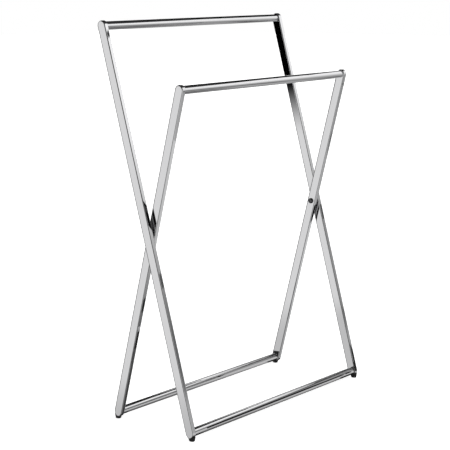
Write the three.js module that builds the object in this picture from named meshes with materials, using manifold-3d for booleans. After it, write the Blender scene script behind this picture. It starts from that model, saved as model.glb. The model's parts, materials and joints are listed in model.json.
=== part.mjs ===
// A folding stand that holds clothes and towels. Two rectangular frames of flat legs and round
// bars cross like scissors and turn on one hinge line. The tall outer frame stands on its front
// feet and leans back; the short inner frame stands on its back feet and leans forward.
// Millimetres, +Z up, X across the stand, +Y to the back, the origin on the floor under the
// middle of the whole stand. The stand is open, resting on its opening stops.
import * as THREE from "three";
import { mergeVertices } from "three/addons/utils/BufferGeometryUtils.js";
import Module from "manifold-3d";

const wasm = await Module();
wasm.setup();

// Overall layout.
const STAND_WIDTH = 540;
const LEAN = THREE.MathUtils.degToRad(15.25);
const TALL_UPPER_LENGTH = 403;
const SHORT_UPPER_LENGTH = 285;
const LOWER_LENGTH = 379;
const FOLD_TRAVEL = THREE.MathUtils.degToRad(27.5);

// Flat legs with round ends.
const LEG_WIDTH = 20;
const LEG_THICKNESS = 10;
const LEG_EDGE = 0.8;
const LEG_GAP = 3;
const LEG_END_STEPS = 10;

// Round bars: tubes pressed over stepped plugs whose tenons sit in blind holes in the legs.
const BAR_RADIUS = 8;
const BAR_WALL = 1.5;
const PLUG_IN_BAR = 5.5;
const TENON_RADIUS = 4;
const TENON_LENGTH = 6;

// Hinge: a socket-head screw through a bushing, a washer and into the tall leg's blind hole.
const SCREW_RADIUS = 3;
const SCREW_IN_LEG = 7.5;
const SCREW_HEAD_RADIUS = 5.75;
const SCREW_HEAD_RIM = 0.9;
const SCREW_HEAD_HEIGHT = 3.4;
const SCREW_SOCKET_RADIUS = 2.3;
const SCREW_SOCKET_DEPTH = 1.9;
const SCREW_CROWN_RADIUS = 2.8;
const DOME_STEPS = 4;
const BUSHING_RADIUS = 4.4;
const WASHER_RADIUS = 5.3;

// Opening stop: a pin in the short leg that runs in a curved slot in the tall leg.
const STOP_ORBIT = 7.6;
const STOP_RADIUS = 1.6;
const STOP_IN_SHORT_LEG = 4.7;
const STOP_IN_TALL_LEG = 2.2;
const SLOT_STEPS = 6;

// Rubber feet on the legs' lower ends, with stems pressed into the ends.
const FOOT_RADIUS = 4.8;
const FOOT_HALF_LENGTH = 6.5;
const FOOT_EDGE = 0.8;
const FOOT_BELOW_BAR_AXIS = 14.8;
const FOOT_HEIGHT = 9.5;
const STEM_RADIUS = 2.3;
const STEM_IN_LEG = 4;

// Clearance between pieces that touch on the real stand.
const FIT = 0.3;
// How far a cutter runs past the face that it opens.
const OVERCUT = 2;
const BAR_STEPS = 24;
const SMALL_STEPS = 16;

// Worked-out places.
const TALL_OUTER = STAND_WIDTH / 2;
const TALL_INNER = TALL_OUTER - LEG_THICKNESS;
const SHORT_OUTER = TALL_INNER - LEG_GAP;
const SHORT_INNER = SHORT_OUTER - LEG_THICKNESS;
const LEG_END_RADIUS = LEG_WIDTH / 2;
const FOOT_MIDDLE = (LEG_END_RADIUS + FOOT_BELOW_BAR_AXIS) / 2;
const BAR_BORE = BAR_RADIUS - BAR_WALL;
const HINGE_HEIGHT = FOOT_BELOW_BAR_AXIS + LOWER_LENGTH * Math.cos(LEAN);
const BACK_REACH = Math.max(TALL_UPPER_LENGTH, LOWER_LENGTH) * Math.sin(LEAN);
const FRONT_REACH = Math.max(SHORT_UPPER_LENGTH, LOWER_LENGTH) * Math.sin(LEAN);
const HINGE_Y = (FRONT_REACH - BACK_REACH) / 2;
const SIDES = [["left", -1], ["right", 1]];

const chrome = () => new THREE.MeshStandardMaterial({ color: 0xc9cbce, roughness: 0.08, metalness: 1 });
const steel = () => new THREE.MeshStandardMaterial({ color: 0x8d9094, roughness: 0.4, metalness: 1 });
const blackSteel = () => new THREE.MeshStandardMaterial({ color: 0x1c1c1e, roughness: 0.3, metalness: 1 });
const nylon = () => new THREE.MeshStandardMaterial({ color: 0x35363a, roughness: 0.6, metalness: 0 });
const rubber = () => new THREE.MeshStandardMaterial({ color: 0x151515, roughness: 0.85, metalness: 0 });

// Turns a closed three.js geometry into a solid that can be cut and joined.
function solid(geometry) {
  const bare = geometry.clone();
  bare.deleteAttribute("normal");
  bare.deleteAttribute("uv");
  const welded = mergeVertices(bare);
  const source = welded.index.array;
  const triangles = [];
  for (let i = 0; i < source.length; i += 3) {
    const [a, b, c] = source.subarray(i, i + 3);
    if (a !== b && b !== c && c !== a) triangles.push(a, b, c);
  }
  return new wasm.Manifold(new wasm.Mesh({
    numProp: 3,
    vertProperties: new Float32Array(welded.attributes.position.array),
    triVerts: new Uint32Array(triangles),
  }));
}

// Turns a solid back into a named mesh.
function piece(name, body, material) {
  const { vertProperties, triVerts } = body.getMesh();
  const geometry = new THREE.BufferGeometry();
  geometry.setAttribute("position", new THREE.BufferAttribute(vertProperties, 3));
  geometry.setIndex(new THREE.BufferAttribute(triVerts, 1));
  geometry.computeVertexNormals();
  const mesh = new THREE.Mesh(geometry, material);
  mesh.name = name;
  return mesh;
}

// A shape drawn in the Y-Z plane and extruded along +X from x.
function extrudeAlongX(shape, x, depth, options) {
  const geometry = new THREE.ExtrudeGeometry(shape, {
    depth, bevelEnabled: false, ...options,
  });
  const axes = new THREE.Matrix4().makeBasis(
    new THREE.Vector3(0, 1, 0), new THREE.Vector3(0, 0, 1), new THREE.Vector3(1, 0, 0));
  geometry.applyMatrix4(axes);
  geometry.translate(x, 0, 0);
  return solid(geometry);
}

// A round rod along X between two x places, through (y, z).
function rodAlongX(radius, xa, xb, y = 0, z = 0, steps = SMALL_STEPS) {
  const geometry = new THREE.CylinderGeometry(radius, radius, Math.abs(xb - xa), steps);
  geometry.rotateZ(Math.PI / 2);
  geometry.translate((xa + xb) / 2, y, z);
  return solid(geometry);
}

// A turned piece: its profile is [radius, distance along the axis] points, with the outside drawn
// towards greater distances. The axis is X, pointing from the middle of the stand to that side.
function turnedAlongX(profile, side, steps = SMALL_STEPS) {
  const points = profile.map(([radius, along]) => new THREE.Vector2(radius, along));
  const geometry = new THREE.LatheGeometry(points, steps);
  geometry.rotateZ(-side * Math.PI / 2);
  return solid(geometry);
}

// A turned piece around the Z axis, from [radius, z] points.
function turnedUpright(profile) {
  const points = profile.map(([radius, z]) => new THREE.Vector2(radius, z));
  const geometry = new THREE.LatheGeometry(points, SMALL_STEPS);
  geometry.rotateX(Math.PI / 2);
  return geometry;
}

// A flat leg with round ends, its hinge line at y = z = 0 and its length along Z. Blind holes in
// its inner face take the tenons of the top and bottom bars, and one in its lower end the foot.
function flatLeg(side, innerX, upperLength) {
  const outline = new THREE.Shape();
  outline.absarc(0, upperLength, LEG_END_RADIUS, 0, Math.PI);
  outline.absarc(0, -LOWER_LENGTH, LEG_END_RADIUS, Math.PI, 2 * Math.PI);
  outline.closePath();
  const outerX = innerX + LEG_THICKNESS;
  const lowX = side > 0 ? innerX : -outerX;
  const blank = extrudeAlongX(outline, lowX + LEG_EDGE, LEG_THICKNESS - 2 * LEG_EDGE, {
    curveSegments: LEG_END_STEPS,
    bevelEnabled: true,
    bevelSize: LEG_EDGE,
    bevelOffset: -LEG_EDGE,
    bevelThickness: LEG_EDGE,
    bevelSegments: 1,
  });
  const mouth = side * (innerX - OVERCUT);
  const bottom = side * (innerX + TENON_LENGTH + FIT);
  const lowerEnd = -LOWER_LENGTH - LEG_END_RADIUS;
  const stemHole = turnedUpright([
    [0, lowerEnd - OVERCUT],
    [STEM_RADIUS + FIT, lowerEnd - OVERCUT],
    [STEM_RADIUS + FIT, lowerEnd + STEM_IN_LEG + FIT],
    [0, lowerEnd + STEM_IN_LEG + FIT],
  ]);
  stemHole.translate(side * (innerX + LEG_THICKNESS / 2), 0, 0);
  return [upperLength, -LOWER_LENGTH].reduce(
    (body, z) => body.subtract(rodAlongX(TENON_RADIUS + FIT, mouth, bottom, 0, z)),
    blank.subtract(solid(stemHole)));
}

// The curved slot that the stop pin runs in, from the folded end to the open end.
function stopSlot(side) {
  const open = Math.PI / 2 + 2 * LEAN;
  const folded = open - FOLD_TRAVEL;
  const halfWidth = STOP_RADIUS + FIT;
  const slot = new THREE.Shape();
  slot.absarc(0, 0, STOP_ORBIT + halfWidth, folded, open);
  slot.absarc(STOP_ORBIT * Math.cos(open), STOP_ORBIT * Math.sin(open), halfWidth, open, open + Math.PI);
  slot.absarc(0, 0, STOP_ORBIT - halfWidth, open, folded, true);
  slot.absarc(STOP_ORBIT * Math.cos(folded), STOP_ORBIT * Math.sin(folded), halfWidth,
    folded + Math.PI, folded + 2 * Math.PI);
  const depth = STOP_IN_TALL_LEG + FIT + OVERCUT;
  const innerEnd = TALL_INNER - OVERCUT;
  return extrudeAlongX(slot, side > 0 ? innerEnd : -innerEnd - depth, depth, { curveSegments: SLOT_STEPS });
}

function tallLeg(side) {
  const screwHole = rodAlongX(SCREW_RADIUS + FIT,
    side * (TALL_INNER - OVERCUT), side * (TALL_INNER + SCREW_IN_LEG + FIT));
  return flatLeg(side, TALL_INNER, TALL_UPPER_LENGTH).subtract(screwHole).subtract(stopSlot(side));
}

function shortLeg(side) {
  const bushingHole = rodAlongX(BUSHING_RADIUS + FIT,
    side * (SHORT_INNER - OVERCUT), side * (SHORT_OUTER + OVERCUT));
  const stopHole = rodAlongX(STOP_RADIUS + FIT,
    side * (SHORT_OUTER - STOP_IN_SHORT_LEG - FIT), side * (SHORT_OUTER + OVERCUT), 0, STOP_ORBIT);
  return flatLeg(side, SHORT_INNER, SHORT_UPPER_LENGTH).subtract(bushingHole).subtract(stopHole);
}

// A bar is a tube on the X axis between the legs' inner faces.
function bar(innerX) {
  const half = innerX - FIT;
  return turnedAlongX([
    [BAR_RADIUS, -half], [BAR_RADIUS, half], [BAR_BORE, half], [BAR_BORE, -half], [BAR_RADIUS, -half],
  ], 1, BAR_STEPS);
}

// A stepped plug: the wide end sits in the bar's bore and the tenon in the leg.
function barPlug(side, innerX) {
  const body = BAR_BORE - FIT;
  const barEnd = innerX - FIT;
  return turnedAlongX([
    [0, barEnd - PLUG_IN_BAR],
    [body, barEnd - PLUG_IN_BAR],
    [body, barEnd],
    [TENON_RADIUS, barEnd],
    [TENON_RADIUS, innerX + TENON_LENGTH],
    [0, innerX + TENON_LENGTH],
  ], side);
}

// The hinge screw: a domed head with a six-sided socket on the short leg's inner face.
function pivotScrew(side) {
  const seat = SHORT_INNER - FIT;
  const crown = seat - SCREW_HEAD_HEIGHT;
  const dome = new THREE.EllipseCurve(0, 0, SCREW_HEAD_RADIUS - SCREW_CROWN_RADIUS,
    SCREW_HEAD_HEIGHT - SCREW_HEAD_RIM, 0, Math.PI / 2);
  const domePoints = dome.getPoints(DOME_STEPS).reverse().map(
    (p) => [SCREW_CROWN_RADIUS + p.x, seat - SCREW_HEAD_RIM - p.y]);
  const screw = turnedAlongX([
    [0, crown],
    ...domePoints,
    [SCREW_HEAD_RADIUS, seat],
    [SCREW_RADIUS, seat],
    [SCREW_RADIUS, TALL_INNER + SCREW_IN_LEG],
    [0, TALL_INNER + SCREW_IN_LEG],
  ], side);
  const socket = new THREE.CylinderGeometry(SCREW_SOCKET_RADIUS, SCREW_SOCKET_RADIUS,
    SCREW_SOCKET_DEPTH + OVERCUT, 6);
  socket.rotateZ(Math.PI / 2);
  socket.translate(side * (crown + (SCREW_SOCKET_DEPTH - OVERCUT) / 2), 0, 0);
  return screw.subtract(solid(socket));
}

// A plain ring around the hinge screw between two x places.
function ring(side, radius, from, to) {
  const bore = SCREW_RADIUS + FIT;
  return turnedAlongX([[radius, from], [radius, to], [bore, to], [bore, from], [radius, from]], side);
}

// The stop pin, pressed into the short leg just above the hinge screw.
function stopPin(side) {
  return rodAlongX(STOP_RADIUS, side * (SHORT_OUTER - STOP_IN_SHORT_LEG),
    side * (TALL_INNER + STOP_IN_TALL_LEG), 0, STOP_ORBIT);
}

// A rubber foot, with the leg along Z and the centre of its round end at y = z = 0: an oval pad
// whose sole is level when the leg leans by that much, and a stem along the leg.
function foot(lean) {
  const pad = turnedUpright([
    [0, 0],
    [FOOT_RADIUS - FOOT_EDGE, 0],
    [FOOT_RADIUS, FOOT_EDGE],
    [FOOT_RADIUS, FOOT_HEIGHT],
    [0, FOOT_HEIGHT],
  ]);
  pad.scale(1, FOOT_HALF_LENGTH / FOOT_RADIUS, 1);
  pad.translate(0, FOOT_MIDDLE * Math.sin(lean), -FOOT_BELOW_BAR_AXIS);
  pad.rotateX(-lean);
  const legSpace = rodAlongX(LEG_END_RADIUS + FIT, -FOOT_RADIUS - OVERCUT, FOOT_RADIUS + OVERCUT,
    0, 0, 2 * BAR_STEPS);
  const stem = turnedUpright([
    [0, -FOOT_MIDDLE],
    [STEM_RADIUS, -FOOT_MIDDLE],
    [STEM_RADIUS, STEM_IN_LEG - LEG_END_RADIUS],
    [0, STEM_IN_LEG - LEG_END_RADIUS],
  ]);
  return solid(pad).subtract(legSpace).add(solid(stem));
}

// One frame as a group that turns about the hinge line: its legs, bars and plugs.
function frame(name, lean, innerX, upperLength, makeLeg) {
  const group = new THREE.Group();
  group.position.set(0, HINGE_Y, HINGE_HEIGHT);
  group.rotation.x = lean;
  for (const [label, side] of SIDES) {
    group.add(piece(`${name}_leg_${label}`, makeLeg(side), chrome()));
  }
  for (const [level, z] of [["top", upperLength], ["bottom", -LOWER_LENGTH]]) {
    const tube = piece(`${name}_${level}_bar`, bar(innerX), chrome());
    tube.position.z = z;
    group.add(tube);
    for (const [label, side] of SIDES) {
      const plug = piece(`${name}_${level}_plug_${label}`, barPlug(side, innerX), steel());
      plug.position.z = z;
      group.add(plug);
    }
  }
  return group;
}

// A frame's two feet, whose soles are level on the open stand.
function addFeet(group, place, lean, innerX) {
  for (const [label, side] of SIDES) {
    const mesh = piece(`${place}_foot_${label}`, foot(lean), rubber());
    mesh.position.set(side * (innerX + LEG_THICKNESS / 2), 0, -LOWER_LENGTH);
    group.add(mesh);
  }
}

const tallFrame = frame("tall", -LEAN, TALL_INNER, TALL_UPPER_LENGTH, tallLeg);
const shortFrame = frame("short", LEAN, SHORT_INNER, SHORT_UPPER_LENGTH, shortLeg);
addFeet(tallFrame, "front", -LEAN, TALL_INNER);
addFeet(shortFrame, "back", LEAN, SHORT_INNER);
for (const [label, side] of SIDES) {
  tallFrame.add(piece(`pivot_screw_${label}`, pivotScrew(side), blackSteel()));
  tallFrame.add(piece(`pivot_washer_${label}`,
    ring(side, WASHER_RADIUS, SHORT_OUTER + FIT, TALL_INNER - FIT), nylon()));
  shortFrame.add(piece(`pivot_bushing_${label}`,
    ring(side, BUSHING_RADIUS, SHORT_INNER, SHORT_OUTER), nylon()));
  shortFrame.add(piece(`stop_pin_${label}`, stopPin(side), steel()));
}

const stand = new THREE.Group();
stand.add(tallFrame, shortFrame);
export default stand;
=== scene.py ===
"""Looks of a folding clothes and towel stand: polished chrome legs and bars, black rubber feet.

Metres, in the frame's own axes: X across the stand, +Y to the back, +Z up.
Azimuths are in degrees from +X towards +Y.
"""

import json
import math

import bpy
from mathutils import Matrix, Vector


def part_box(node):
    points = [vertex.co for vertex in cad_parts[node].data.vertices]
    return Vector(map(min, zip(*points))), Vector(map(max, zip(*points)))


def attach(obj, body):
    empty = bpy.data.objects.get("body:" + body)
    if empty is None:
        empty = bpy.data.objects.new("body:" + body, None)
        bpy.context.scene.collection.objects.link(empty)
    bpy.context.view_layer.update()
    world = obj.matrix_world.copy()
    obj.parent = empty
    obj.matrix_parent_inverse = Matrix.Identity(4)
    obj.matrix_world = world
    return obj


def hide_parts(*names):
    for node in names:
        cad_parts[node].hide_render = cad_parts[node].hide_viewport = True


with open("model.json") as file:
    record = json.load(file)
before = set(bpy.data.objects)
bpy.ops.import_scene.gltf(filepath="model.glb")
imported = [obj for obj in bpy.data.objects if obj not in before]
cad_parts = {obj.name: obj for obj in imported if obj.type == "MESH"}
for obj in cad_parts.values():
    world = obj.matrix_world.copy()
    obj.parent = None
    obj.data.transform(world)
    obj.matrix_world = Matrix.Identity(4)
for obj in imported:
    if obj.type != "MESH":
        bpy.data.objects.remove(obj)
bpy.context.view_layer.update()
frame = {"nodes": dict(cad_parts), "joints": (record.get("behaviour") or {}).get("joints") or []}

SIGNS = {"left": -1, "right": 1}
LEVELS = ("top", "bottom")
ACROSS = Vector((1, 0, 0))
UP = Vector((0, 0, 1))
MM = 0.001
SHARP_ANGLE = math.radians(32)
ROUND_STEPS = 72
TIP_RADIUS = 0.02 * MM

# Legs and bars.
LEG_EDGE = 2.0 * MM
LEG_BACK_EDGE_EXTRA = 1.4 * MM
LEG_EDGE_STEPS = 6
LEG_ARC_STEPS = 40
BAR_EDGE = 0.35 * MM
BAR_EDGE_STEPS = 4
BAR_WALL = 1.5 * MM

# Hinge screws, with a domed head and a six-sided socket.
SHANK_RADIUS = 3.0 * MM
HEAD_HEIGHT = 3.4 * MM
HEAD_RIM = 0.7 * MM
HEAD_UNDER_EDGE = 0.2 * MM
CROWN_RADIUS = 2.9 * MM
DOME_STEPS = 10
SOCKET_ACROSS_FLATS = 4.0 * MM
SOCKET_CHAMFER = 0.25 * MM
SOCKET_DEPTH = 1.9 * MM
SOCKET_POINT = 0.9 * MM

# Feet: oval pads that widen towards the leg.
FOOT_HALF_LENGTH = 6.5 * MM
FOOT_HEIGHT = 9.5 * MM
FOOT_EDGE = 1.3 * MM
FOOT_EDGE_STEPS = 6
FOOT_TOP_EDGE = 0.5 * MM
FOOT_TOP_EDGE_STEPS = 4
FOOT_TOP_RINGS = (0.75, 0.6, 0.45, 0.3, 0.15, 0.004)
FOOT_ROUND_STEPS = 48
FOOT_SEAT_GAP = 0.1 * MM
FOOT_SOLE_SHARE = 0.88
FOOT_FLARE = 0.4

# Floor, backdrop and the soft light from above.
FLOOR_SIZE = 15.0
FLOOR_GREY = 0.92
FLOOR_GLOW = 0.9
BACKDROP_RADIUS = 22.0
SUN_STRENGTH = 1.6
SUN_SPREAD = math.radians(70)
SUN_TURN = (math.radians(18), math.radians(14), 0)

# The room that the chrome mirrors: (height of the direction from 0 at nadir to 1 at zenith, grey).
ROOM_GREYS = [
    (0.00, 0.12), (0.14, 0.26), (0.18, 0.36), (0.21, 0.45), (0.25, 0.60), (0.29, 0.72), (0.33, 0.76),
    (0.38, 0.81), (0.50, 0.83), (0.56, 0.54), (0.68, 0.12), (0.80, 0.04), (1.00, 0.03)]
# Dark areas of the room: azimuth and elevation, inner and outer radius in degrees, and depth.
DARK_SPOTS = [
    (50, -6, 15, 25, 0.9),
    (82, -8, 15, 25, 0.9),
    (113, -8, 13, 22, 0.9),
    (221, 12, 20, 40, 0.75),
    (220, 9, 9, 19, 0.97),
    (209, -24, 12, 26, 0.75),
    (211, -27, 9, 19, 0.97),
    (180, -64, 20, 40, 0.9),
    (135, 42, 20, 34, 0.9),
    (-36, -39, 3, 9, 0.85),
    (25, 20, 18, 34, 0.9),
    (40, 9, 12, 22, 0.95),
]

# Key card: a curved card at the right, with (azimuth, height) along its top edge.
KEY_RADIUS = 1.0
KEY_STEPS = 48
KEY_TOP = [(-78, 1.45), (-40, 1.5), (-18, 1.45), (-8, 1.25), (6, 0.98), (46, 0.92)]
# Its greys, as (share of KEY_HEIGHT, grey), with one thin black line near the top.
KEY_HEIGHT = 1.5
KEY_GREYS = [
    (0.00, 0.44), (0.09, 0.42), (0.12, 0.20), (0.15, 0.15), (0.22, 0.15), (0.28, 0.26), (0.34, 0.42),
    (0.40, 0.56), (0.46, 0.68), (0.52, 0.82), (0.58, 0.98), (0.70, 1.06), (0.782, 1.1),
    (0.783, 0.0), (0.796, 0.0), (0.797, 1.1), (1.00, 1.12)]
# A paler patch over its dark part: each pair is where the patch starts and where it is full.
PATCH_GREY = 0.34
PATCH_FRONT_Y = (-0.60, -0.50)
PATCH_BACK_Y = (-0.15, -0.32)
PATCH_LOW_Z = (0.17, 0.23)

# Shelf: two low cards in front of the key card, as (name, height above the shelf, grey).
SHELF_HEIGHT = 0.45
SHELF_RADII = (0.74, 0.99)
SHELF_ARC = (-60, 10)
SHELF_STEPS = 24
SHELF_LAYERS = [("shelf_top", 0.004, 0.36), ("shelf_under", 0.0, 0.10)]

# Contact shade: an oval patch of floor under the stand.
SHADE_X, SHADE_Y = 0.62, 0.5
SHADE_FULL_SHARE = 0.45
SHADE_DEPTH = 0.22

# Painted shade, seen only in the chrome: dark strips on the floor under the bottom bars, a dark corner
# patch, and a low dark upright card in front of the stand.
STRIP_GLOW = 0.02
STRIP_Z = 0.2 * MM
STRIP_BEHIND = 35 * MM
BAR_STRIP_AHEAD = 6 * MM
END_STRIP_AHEAD = 17 * MM
STRIP_END_X = 0.228
STRIP_OUT_X = 0.3
PAINTED_SHADE_CORNER = [(0.20, 0.12), (0.160, 0.12), (0.172, 0.19), (0.20, 0.19)]
FRONT_SHADE_X = (-0.19, 0.312)
FRONT_SHADE_Y = -0.16
FRONT_SHADE_Z = (0.001, 0.043)
FRONT_SHADE_END = [(0.314, 0.0), (0.345, 0.0), (0.345, 0.11), (0.314, 0.002)]

# Flag: a black card close behind the tall frame.
FLAG_X = (-0.26, 0.25)
FLAG_Y = 0.33
FLAG_Z = (0.4, 1.2)
FLAG_FADE_Z = (0.46, 0.60)

# Back card: a light band high behind the stand, brightest at its middle height.
BACK_CARD_X = (-0.9, 0.9)
BACK_CARD_Y = 1.0
BACK_CARD_Z = (0.95, 1.4, 2.0)
BACK_CARD_GLOW = 0.9

# Camera: where it stands from the hinge line, and where it looks.
CAMERA_FROM_HINGE = Vector((-2.0875, -1.7289, 0.4737))
CAMERA_YAW = math.radians(49.81)
CAMERA_PITCH = math.radians(-10.268)
CAMERA_ROLL = math.radians(-0.569)
CAMERA_LENS = 108.85
CAMERA_SENSOR = 36.0
CAMERA_CLIP = (0.05, 100.0)


# ---------------------------------------------------------------- frame measures

def centre(node):
    low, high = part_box(node)
    return (low + high) / 2


class Side:
    """One rectangular frame's measures, read from its CAD nodes."""

    def __init__(self, name):
        self.name = name
        self.body = f"{name}_frame"
        self.top = centre(f"{name}_top_bar")
        self.bottom = centre(f"{name}_bottom_bar")
        self.up = (self.top - self.bottom).normalized()
        self.front = Vector((0, -self.up.z, self.up.y))
        low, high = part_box(f"{name}_leg_right")
        self.leg_radius = high.z - self.top.z
        self.inner_x = low.x
        self.outer_x = high.x
        bar_low, bar_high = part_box(f"{name}_top_bar")
        self.bar_radius = (bar_high.z - bar_low.z) / 2
        self.bar_half = bar_high.x


hinge = Vector(frame["joints"][0]["pos_m"])
tall = Side("tall")
short = Side("short")


# ---------------------------------------------------------------- mesh helpers

def add_object(name, verts, faces, normals=None):
    """A smooth mesh object, with sharp edges by angle where no normals are given."""
    mesh = bpy.data.meshes.new(name)
    mesh.from_pydata([tuple(v) for v in verts], [], faces)
    mesh.polygons.foreach_set("use_smooth", [True] * len(mesh.polygons))
    mesh.update()
    if normals is None:
        mesh.set_sharp_from_angle(angle=SHARP_ANGLE)
    else:
        mesh.normals_split_custom_set_from_vertices([tuple(n) for n in normals])
    piece = bpy.data.objects.new(name, mesh)
    bpy.context.scene.collection.objects.link(piece)
    return piece


def bridge(rings, joined=False):
    """Faces between rings of equal length, closed by end caps or joined back to the first ring."""
    count = len(rings[0])
    pairs = [(k, k + 1) for k in range(len(rings) - 1)]
    if joined:
        pairs.append((len(rings) - 1, 0))
    faces = []
    for a, b in pairs:
        for i in range(count):
            j = (i + 1) % count
            faces.append((a * count + i, a * count + j, b * count + j, b * count + i))
    if not joined:
        last = (len(rings) - 1) * count
        faces.append(tuple(reversed(range(count))))
        faces.append(tuple(range(last, last + count)))
    return faces


def fillet(steps):
    """Pairs (sin, cos) of a quarter turn, from 0 to 90 degrees."""
    angles = [k / steps * math.pi / 2 for k in range(steps + 1)]
    return [(math.sin(a), math.cos(a)) for a in angles]


def turned(name, profile, origin, axis, start, steps=ROUND_STEPS, joined=False):
    """A turned piece. The profile is (distance along the axis, radius or radius by angle)."""
    quarter = axis.cross(start)
    rings = []
    for along, radius in profile:
        ring = []
        for k in range(steps):
            angle = 2 * math.pi * k / steps
            r = radius(angle) if callable(radius) else radius
            offset = start * math.cos(angle) + quarter * math.sin(angle)
            ring.append(origin + axis * along + offset * r)
        rings.append(ring)
    verts = [v for ring in rings for v in ring]
    return add_object(name, verts, bridge(rings, joined))


# ---------------------------------------------------------------- pieces

def make_leg(side, label):
    """A flat bar with half-round ends and finely rounded edges."""
    low_x, high_x = sorted(SIGNS[label] * x for x in (side.inner_x, side.outer_x))
    arc = [math.pi * k / LEG_ARC_STEPS for k in range(LEG_ARC_STEPS + 1)]
    spokes = [(side.top, a) for a in arc] + [(side.bottom, a + math.pi) for a in arc]
    layers = [(-1, low_x, s, c) for s, c in reversed(fillet(LEG_EDGE_STEPS))]
    layers += [(1, high_x, s, c) for s, c in fillet(LEG_EDGE_STEPS)]
    rings = []
    normals = []
    for facing, face_x, s, c in layers:
        ring = []
        for end, angle in spokes:
            out = side.up * math.sin(angle) - side.front * math.cos(angle)
            edge = LEG_EDGE + LEG_BACK_EDGE_EXTRA * max(0.0, -out.dot(side.front))
            point = end + out * (side.leg_radius - edge * (1 - c))
            ring.append(Vector((face_x - facing * edge * (1 - s), point.y, point.z)))
            normals.append(out * c + ACROSS * (facing * s))
        rings.append(ring)
    verts = [v for ring in rings for v in ring]
    return add_object(f"{side.name}_leg_{label}_fine", verts, bridge(rings), normals)


def make_bar(side, level):
    """A plated tube with slightly broken ends."""
    middle = side.top if level == "top" else side.bottom
    radius, half = side.bar_radius, side.bar_half
    right_end = [(half - BAR_EDGE * (1 - s), radius - BAR_EDGE * (1 - c)) for s, c in fillet(BAR_EDGE_STEPS)]
    left_end = [(-along, r) for along, r in reversed(right_end)]
    bore = [(half, radius - BAR_WALL), (-half, radius - BAR_WALL)]
    profile = left_end + right_end + bore
    return turned(f"{side.name}_{level}_bar_fine", profile, middle, ACROSS, UP, joined=True)


def hexagon(across_flats):
    """Radius by angle of a six-sided hole."""
    def radius(angle):
        return across_flats / 2 / math.cos(angle % (math.pi / 3) - math.pi / 6)
    return radius


def make_screw(label):
    """A screw with its domed socket head on the inner face of the short leg."""
    low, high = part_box(f"pivot_screw_{label}")
    sign = SIGNS[label]
    inner_x = low.x if sign > 0 else high.x
    head_radius = (high.z - low.z) / 2
    socket = hexagon(SOCKET_ACROSS_FLATS)
    mouth = hexagon(SOCKET_ACROSS_FLATS + 2 * SOCKET_CHAMFER)
    profile = [(SOCKET_DEPTH + SOCKET_POINT, TIP_RADIUS), (SOCKET_DEPTH, socket), (SOCKET_CHAMFER, socket)]
    profile += [(0, mouth)]
    profile += [((HEAD_HEIGHT - HEAD_RIM) * (1 - s), CROWN_RADIUS + (head_radius - CROWN_RADIUS) * c)
                for s, c in reversed(fillet(DOME_STEPS))]
    profile += [(HEAD_HEIGHT - HEAD_UNDER_EDGE, head_radius), (HEAD_HEIGHT, head_radius - HEAD_UNDER_EDGE)]
    profile += [(HEAD_HEIGHT, SHANK_RADIUS), (high.x - low.x, SHANK_RADIUS)]
    origin = Vector((inner_x, hinge.y, hinge.z))
    return turned(f"pivot_screw_{label}_fine", profile, origin, ACROSS * sign, UP)


def make_foot(node, side, lean_out):
    """An oval rubber pad with a soft lower edge, hollowed to fit the leg's round end.

    lean_out is -1 for a foot in front and 1 for one behind.
    """
    low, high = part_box(node)
    half_width = (high.x - low.x) / 2
    outer_y = low.y if lean_out < 0 else high.y
    middle_y = outer_y - lean_out * FOOT_HALF_LENGTH
    profile = [(0, TIP_RADIUS)]
    profile += [(FOOT_EDGE * (1 - c), half_width - FOOT_EDGE * (1 - s)) for s, c in fillet(FOOT_EDGE_STEPS)]
    profile += [(FOOT_HEIGHT - FOOT_TOP_EDGE * (1 - s), half_width - FOOT_TOP_EDGE * (1 - c))
                for s, c in fillet(FOOT_TOP_EDGE_STEPS)]
    profile += [(FOOT_HEIGHT, half_width * share) for share in FOOT_TOP_RINGS]
    origin = Vector(((low.x + high.x) / 2, middle_y, 0))
    piece = turned(f"{node}_fine", profile, origin, UP, ACROSS, steps=FOOT_ROUND_STEPS)
    seat = side.leg_radius + FOOT_SEAT_GAP
    for v in piece.data.vertices:
        widening = FOOT_SOLE_SHARE + FOOT_FLARE * v.co.z / FOOT_HEIGHT
        y = middle_y + (v.co.y - middle_y) * FOOT_HALF_LENGTH / half_width * widening
        across = y - side.bottom.y
        if lean_out * across > side.leg_radius:
            across = lean_out * side.leg_radius
        v.co.y = side.bottom.y + across
        if v.co.z > FOOT_EDGE and abs(across) < seat:
            v.co.z = min(v.co.z, side.bottom.z - math.sqrt(seat * seat - across * across))
    piece.data.update()
    piece.data.set_sharp_from_angle(angle=SHARP_ANGLE)
    return piece


pieces = []


def place(piece, body, node):
    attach(piece, body)
    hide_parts(node)
    pieces.append(piece)


for side in (tall, short):
    for label in SIGNS:
        place(make_leg(side, label), side.body, f"{side.name}_leg_{label}")
    for level in LEVELS:
        place(make_bar(side, level), side.body, f"{side.name}_{level}_bar")

for label in SIGNS:
    place(make_screw(label), tall.body, f"pivot_screw_{label}")

for place_name, side, lean_out in (("front", tall, -1), ("back", short, 1)):
    for label in SIGNS:
        node = f"{place_name}_foot_{label}"
        place(make_foot(node, side, lean_out), side.body, node)

# The tall legs' flat faces would otherwise show a small dark mark where they mirror these bars.
for level in LEVELS:
    bpy.data.objects[f"short_{level}_bar_fine"].visible_glossy = False


# ---------------------------------------------------------------- materials

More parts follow.
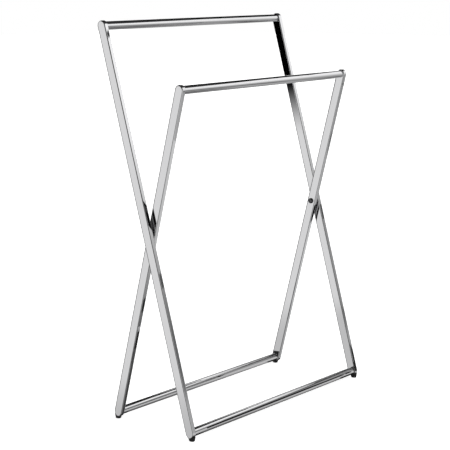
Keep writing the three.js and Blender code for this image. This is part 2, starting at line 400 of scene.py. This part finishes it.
class Material:
    """A Principled material whose roughness and bump follow patterns."""

    def __init__(self, name, colour, metallic=0.0):
        self.data = bpy.data.materials.new(name)
        self.data.use_nodes = True
        self.tree = self.data.node_tree
        self.shader = self.tree.nodes["Principled BSDF"]
        self.shader.inputs["Base Color"].default_value = (*colour, 1)
        self.shader.inputs["Metallic"].default_value = metallic
        self.coords = self.tree.nodes.new("ShaderNodeTexCoord").outputs["Object"]

    def node(self, kind, inputs, **settings):
        made = self.tree.nodes.new(kind)
        for key, value in settings.items():
            setattr(made, key, value)
        for key, value in inputs.items():
            if isinstance(value, bpy.types.NodeSocket):
                self.tree.links.new(value, made.inputs[key])
            else:
                made.inputs[key].default_value = value
        return made.outputs

    def noise(self, scale, detail, stretch=(1, 1, 1)):
        vector = self.node("ShaderNodeMapping", {"Vector": self.coords, "Scale": stretch})["Vector"]
        return self.node("ShaderNodeTexNoise", {"Vector": vector, "Scale": scale, "Detail": detail})["Fac"]

    def roughen(self, pattern, low, high, least, most):
        """Roughness runs from least to most as the pattern runs from low to high."""
        made = self.node("ShaderNodeMapRange", {
            "Value": pattern, "From Min": low, "From Max": high, "To Min": least, "To Max": most})
        self.tree.links.new(made["Result"], self.shader.inputs["Roughness"])

    def bump(self, height, strength, distance):
        made = self.node("ShaderNodeBump", {"Height": height, "Strength": strength, "Distance": distance})
        self.tree.links.new(made["Normal"], self.shader.inputs["Normal"])


def chrome(name, grain):
    """Polished plate: smudges and hairline wipe marks change its gloss a little."""
    m = Material(name, (0.80, 0.80, 0.81), metallic=1.0)
    smudge = m.noise(14, 5)
    hairline = m.noise(260, 3, grain)
    mixed = m.node("ShaderNodeMath", {0: smudge, 1: hairline}, operation="ADD")[0]
    m.roughen(mixed, 0.7, 1.35, 0.02, 0.06)
    m.bump(hairline, 0.015, 0.2 * MM)
    return m.data


def rubber():
    """Matt black rubber with a fine moulded grain."""
    m = Material("rubber", (0.012, 0.012, 0.013))
    grain = m.noise(1800, 3)
    m.roughen(grain, 0.3, 0.7, 0.5, 0.75)
    m.bump(grain, 0.35, 0.2 * MM)
    return m.data


def turned_steel():
    """Plain steel with turning marks round the X axis."""
    m = Material("turned_steel", (0.50, 0.51, 0.53), metallic=1.0)
    rings = m.noise(1500, 2, (1, 0.05, 0.05))
    m.roughen(rings, 0.3, 0.7, 0.28, 0.45)
    m.bump(rings, 0.2, 0.1 * MM)
    return m.data


def blackened_steel():
    """Dark, fairly glossy steel with a fine grain."""
    m = Material("blackened_steel", (0.15, 0.15, 0.155), metallic=1.0)
    grain = m.noise(700, 3)
    m.roughen(grain, 0.3, 0.7, 0.08, 0.14)
    m.bump(grain, 0.1, 0.1 * MM)
    return m.data


def nylon():
    """Matt dark plastic with a faint grain."""
    m = Material("nylon", (0.035, 0.036, 0.039))
    grain = m.noise(900, 3)
    m.roughen(grain, 0.3, 0.7, 0.42, 0.6)
    m.bump(grain, 0.2, 0.1 * MM)
    return m.data


steel = turned_steel()
plastic = nylon()
# The material of each piece and node, by a word of its name.
LOOKS = {
    "leg": chrome("chrome_leg", (1, 1, 0.04)),
    "bar": chrome("chrome_bar", (0.04, 1, 1)),
    "screw": blackened_steel(),
    "foot": rubber(),
    "plug": steel,
    "stop": steel,
    "washer": plastic,
    "bushing": plastic,
}


def look_of(name):
    return next(LOOKS[word] for word in name.split("_") if word in LOOKS)


for piece in pieces:
    piece.data.materials.append(look_of(piece.name))

replaced = {piece.name.removesuffix("_fine") for piece in pieces}
for name, node in frame["nodes"].items():
    if name not in replaced:
        for slot in node.material_slots:
            slot.material = look_of(name)


# ---------------------------------------------------------------- studio helpers

def emitter(name, grey, strength=1.0):
    """A glowing material, with its tree, its glow and its output."""
    material = bpy.data.materials.new(name)
    material.use_nodes = True
    tree = material.node_tree
    tree.nodes.clear()
    glow = tree.nodes.new("ShaderNodeEmission")
    glow.inputs["Color"].default_value = (grey, grey, grey, 1)
    glow.inputs["Strength"].default_value = strength
    out = tree.nodes.new("ShaderNodeOutputMaterial")
    tree.links.new(glow.outputs[0], out.inputs["Surface"])
    return material, tree, glow, out


def stage_mesh(name, verts, faces, material):
    mesh = bpy.data.meshes.new(name)
    mesh.from_pydata(verts, [], faces)
    mesh.materials.append(material)
    thing = bpy.data.objects.new(name, mesh)
    bpy.context.scene.collection.objects.link(thing)
    return thing


def only_seen_by(thing, camera=False, glossy=False):
    thing.visible_camera = camera
    thing.visible_glossy = glossy
    thing.visible_diffuse = False
    thing.visible_transmission = False
    thing.visible_volume_scatter = False
    thing.visible_shadow = False


def mirrored_card(name, corners, material):
    """A four-sided card that only shows in the chrome."""
    only_seen_by(stage_mesh(name, corners, [(0, 1, 2, 3)], material), glossy=True)


def mirrored_ribbon(name, pairs, material):
    """A curved card through pairs of points, which only shows in the chrome."""
    verts = [point for pair in pairs for point in pair]
    faces = [(k, k + 2, k + 3, k + 1) for k in range(0, len(verts) - 2, 2)]
    only_seen_by(stage_mesh(name, verts, faces, material), glossy=True)


def level_corners(xs, ys, z):
    """Corners of a level rectangle."""
    return [(xs[0], ys[0], z), (xs[1], ys[0], z), (xs[1], ys[1], z), (xs[0], ys[1], z)]


def upright_corners(xs, y, zs):
    """Corners of an upright rectangle across the stand."""
    return [(xs[0], y, zs[0]), (xs[1], y, zs[0]), (xs[1], y, zs[1]), (xs[0], y, zs[1])]


def own_place(tree):
    """The point on the surface, in metres."""
    return tree.nodes.new("ShaderNodeTexCoord").outputs["Object"]


def axes_of(tree, vector):
    """The X, Y and Z outputs of a vector."""
    split = tree.nodes.new("ShaderNodeSeparateXYZ")
    tree.links.new(vector, split.inputs[0])
    return split.outputs


def maths(tree, operation, *values):
    made = tree.nodes.new("ShaderNodeMath")
    made.operation = operation
    for socket, value in zip(made.inputs, values):
        if isinstance(value, bpy.types.NodeSocket):
            tree.links.new(value, socket)
        else:
            socket.default_value = value
    return made.outputs[0]


def ramp(tree, value, stops):
    """A grey that follows (value, grey) stops; the values run from 0 to 1."""
    node = tree.nodes.new("ShaderNodeValToRGB")
    node.color_ramp.interpolation = "LINEAR"
    elements = node.color_ramp.elements
    while len(elements) < len(stops):
        elements.new(0.5)
    for element, (position, grey) in zip(elements, stops):
        element.position = position
        element.color = (grey, grey, grey, 1)
    tree.links.new(value, node.inputs["Fac"])
    return node.outputs["Color"]


def fade_between(tree, value, none, full, most=1.0):
    """0 where a value is at none or beyond, rising smoothly to most at full."""
    fade = tree.nodes.new("ShaderNodeMapRange")
    fade.interpolation_type = "SMOOTHSTEP"
    tree.links.new(value, fade.inputs["Value"])
    fade.inputs["From Min"].default_value = none
    fade.inputs["From Max"].default_value = full
    fade.inputs["To Max"].default_value = most
    return fade.outputs["Result"]


def toward(tree, direction, azimuth, elevation, inner, outer):
    """1 within inner degrees of a direction, falling to 0 at outer degrees."""
    a, e, inner, outer = (math.radians(angle) for angle in (azimuth, elevation, inner, outer))
    dot = tree.nodes.new("ShaderNodeVectorMath")
    dot.operation = "DOT_PRODUCT"
    tree.links.new(direction, dot.inputs[0])
    dot.inputs[1].default_value = (math.cos(a) * math.cos(e), math.sin(a) * math.cos(e), math.sin(e))
    return fade_between(tree, dot.outputs["Value"], math.cos(outer), math.cos(inner))


def clear_outside(tree, glow, out, fade):
    """Let a surface show only as far as the fade says, and be clear elsewhere."""
    clear = tree.nodes.new("ShaderNodeBsdfTransparent")
    mix = tree.nodes.new("ShaderNodeMixShader")
    tree.links.new(fade, mix.inputs["Fac"])
    tree.links.new(clear.outputs[0], mix.inputs[1])
    tree.links.new(glow.outputs[0], mix.inputs[2])
    tree.links.new(mix.outputs[0], out.inputs["Surface"])


# ---------------------------------------------------------------- studio

def make_floor():
    """A plain pale floor, which the chrome does not mirror."""
    material = bpy.data.materials.new("floor")
    material.use_nodes = True
    shader = material.node_tree.nodes["Principled BSDF"]
    shader.inputs["Base Color"].default_value = (FLOOR_GREY, FLOOR_GREY, FLOOR_GREY, 1)
    shader.inputs["Roughness"].default_value = 1.0
    shader.inputs["Specular IOR Level"].default_value = 0.0
    shader.inputs["Emission Color"].default_value = (1, 1, 1, 1)
    shader.inputs["Emission Strength"].default_value = FLOOR_GLOW
    span = (-FLOOR_SIZE, FLOOR_SIZE)
    floor = stage_mesh("floor", level_corners(span, span, 0), [(0, 1, 2, 3)], material)
    floor.visible_glossy = False


def make_backdrop():
    """A white dome round the scene, which only the camera sees."""
    bpy.ops.mesh.primitive_uv_sphere_add(segments=48, ring_count=24, radius=BACKDROP_RADIUS)
    dome = bpy.context.active_object
    dome.name = "backdrop"
    dome.data.materials.append(emitter("backdrop", 1)[0])
    only_seen_by(dome, camera=True)


def make_world():
    """What the chrome mirrors far off: light around, dark overhead, with dark areas in it."""
    world = bpy.data.worlds.new("studio")
    bpy.context.scene.world = world
    world.use_nodes = True
    tree = world.node_tree
    background = tree.nodes["Background"]
    direction = tree.nodes.new("ShaderNodeTexCoord").outputs["Generated"]
    height = maths(tree, "MULTIPLY_ADD", axes_of(tree, direction)["Z"], 0.5, 0.5)
    tree.links.new(ramp(tree, height, ROOM_GREYS), background.inputs["Color"])
    shade = 1.0
    for *spot, depth in DARK_SPOTS:
        dark = maths(tree, "MULTIPLY", toward(tree, direction, *spot), depth)
        shade = maths(tree, "MULTIPLY", shade, maths(tree, "SUBTRACT", 1.0, dark))
    tree.links.new(shade, background.inputs["Strength"])


def between(points, value):
    """The height of a broken line at a value."""
    for (a, ha), (b, hb) in zip(points, points[1:]):
        if value <= b:
            return ha + (hb - ha) * (value - a) / (b - a)
    return points[-1][1]


def make_key_card():
    """A curved white card at the right, bright above and dark near the floor."""
    material, tree, glow, _ = emitter("key_card", 1)
    axes = axes_of(tree, own_place(tree))
    grey = ramp(tree, maths(tree, "DIVIDE", axes["Z"], KEY_HEIGHT), KEY_GREYS)
    patch = maths(tree, "MULTIPLY", fade_between(tree, axes["Y"], *PATCH_FRONT_Y), PATCH_GREY)
    patch = maths(tree, "MULTIPLY", patch, fade_between(tree, axes["Y"], *PATCH_BACK_Y))
    patch = maths(tree, "MULTIPLY", patch, fade_between(tree, axes["Z"], *PATCH_LOW_Z))
    tree.links.new(maths(tree, "MAXIMUM", grey, patch), glow.inputs["Color"])
    start, end = KEY_TOP[0][0], KEY_TOP[-1][0]
    pairs = []
    for k in range(KEY_STEPS + 1):
        degrees = start + (end - start) * k / KEY_STEPS
        a = math.radians(degrees)
        x, y = KEY_RADIUS * math.cos(a), KEY_RADIUS * math.sin(a)
        pairs.append([(x, y, 0.0), (x, y, between(KEY_TOP, degrees))])
    mirrored_ribbon("key_card", pairs, material)


def make_shelf():
    """A low card in front of the key card, light on top and dark underneath."""
    start, end = SHELF_ARC
    angles = [math.radians(start + (end - start) * k / SHELF_STEPS) for k in range(SHELF_STEPS + 1)]
    for name, lift, grey in SHELF_LAYERS:
        pairs = [[(r * math.cos(a), r * math.sin(a), SHELF_HEIGHT + lift) for r in SHELF_RADII]
                 for a in angles]
        mirrored_ribbon(name, pairs, emitter(name, grey)[0])


def make_contact_shade():
    """A faint darker patch of floor under the stand, seen only in the chrome."""
    material, tree, glow, out = emitter("contact_shade", 0, 0.0)
    share = tree.nodes.new("ShaderNodeMapping")
    tree.links.new(own_place(tree), share.inputs["Vector"])
    share.inputs["Scale"].default_value = (1 / SHADE_X, 1 / SHADE_Y, 1)
    length = tree.nodes.new("ShaderNodeVectorMath")
    length.operation = "LENGTH"
    tree.links.new(share.outputs["Vector"], length.inputs[0])
    fade = fade_between(tree, length.outputs["Value"], 1.0, SHADE_FULL_SHARE, SHADE_DEPTH)
    clear_outside(tree, glow, out, fade)
    mirrored_card("contact_shade", level_corners((-SHADE_X, SHADE_X), (-SHADE_Y, SHADE_Y), 0), material)


def make_painted_shade_strips():
    """Painted shade seen only in the chrome: black strips under each bottom bar, a black corner patch, and a
    low black upright card with an end piece in front.
    """
    material = emitter("dark_strip", 1, STRIP_GLOW)[0]
    spans = [(tall, (-STRIP_END_X, STRIP_END_X), BAR_STRIP_AHEAD)]
    for side in (tall, short):
        spans.append((side, (-side.outer_x, -STRIP_END_X), END_STRIP_AHEAD))
        spans.append((side, (STRIP_END_X, STRIP_OUT_X), END_STRIP_AHEAD))
    # Painted contact shade: black strips on the floor under the bottom bars.
    for k, (side, xs, ahead) in enumerate(spans):
        ys = (side.bottom.y - ahead, side.bottom.y + STRIP_BEHIND)
        mirrored_card(f"dark_strip_{k}", level_corners(xs, ys, STRIP_Z), material)
    # Painted shade: a low black upright card in front of the stand, a black corner patch on the floor, and
    # the card's end piece.
    mirrored_card("kerb", upright_corners(FRONT_SHADE_X, FRONT_SHADE_Y, FRONT_SHADE_Z), material)
    mirrored_card("corner_patch", [(x, y, STRIP_Z) for x, y in PAINTED_SHADE_CORNER], material)
    mirrored_card("kerb_end", [(x, FRONT_SHADE_Y, z) for x, z in FRONT_SHADE_END], material)


def make_flag():
    """A black flag close behind the tall frame, with a soft lower edge."""
    material, tree, glow, out = emitter("flag", 0, 0.0)
    clear_outside(tree, glow, out, fade_between(tree, axes_of(tree, own_place(tree))["Z"], *FLAG_FADE_Z))
    mirrored_card("flag", upright_corners(FLAG_X, FLAG_Y, FLAG_Z), material)


def make_back_card():
    """A soft light band high behind the stand, for the views from the back."""
    material, tree, glow, _ = emitter("back_card", 1)
    z = axes_of(tree, own_place(tree))["Z"]
    low, middle, high = BACK_CARD_Z
    fade = fade_between(tree, z, low, middle)
    fade = maths(tree, "MULTIPLY", fade, fade_between(tree, z, high, middle))
    tree.links.new(maths(tree, "MULTIPLY", fade, BACK_CARD_GLOW), glow.inputs["Strength"])
    mirrored_card("back_card", upright_corners(BACK_CARD_X, BACK_CARD_Y, (low, high)), material)


def make_sun():
    """Soft light from above, which the chrome does not mirror."""
    light = bpy.data.lights.new("soft_top", "SUN")
    light.energy = SUN_STRENGTH
    light.angle = SUN_SPREAD
    sun = bpy.data.objects.new("soft_top", light)
    sun.rotation_euler = SUN_TURN
    sun.visible_glossy = False
    bpy.context.scene.collection.objects.link(sun)


def make_camera():
    """A long lens from the left and a little above."""
    data = bpy.data.cameras.new("camera")
    data.sensor_width = CAMERA_SENSOR
    data.lens = CAMERA_LENS
    data.clip_start, data.clip_end = CAMERA_CLIP
    camera = bpy.data.objects.new("camera", data)
    bpy.context.scene.collection.objects.link(camera)
    look = Vector((math.sin(CAMERA_YAW) * math.cos(CAMERA_PITCH),
                   math.cos(CAMERA_YAW) * math.cos(CAMERA_PITCH),
                   math.sin(CAMERA_PITCH)))
    level = look.to_track_quat("-Z", "Y").to_matrix().to_4x4()
    roll = Matrix.Rotation(CAMERA_ROLL, 4, "Z")
    camera.matrix_world = Matrix.Translation(hinge + CAMERA_FROM_HINGE) @ level @ roll
    bpy.context.scene.camera = camera


make_floor()
make_backdrop()
make_world()
make_key_card()
make_shelf()
make_contact_shade()
make_painted_shade_strips()
make_flag()
make_back_card()
make_sun()
make_camera()
bpy.context.scene.view_settings.view_transform = "Standard"
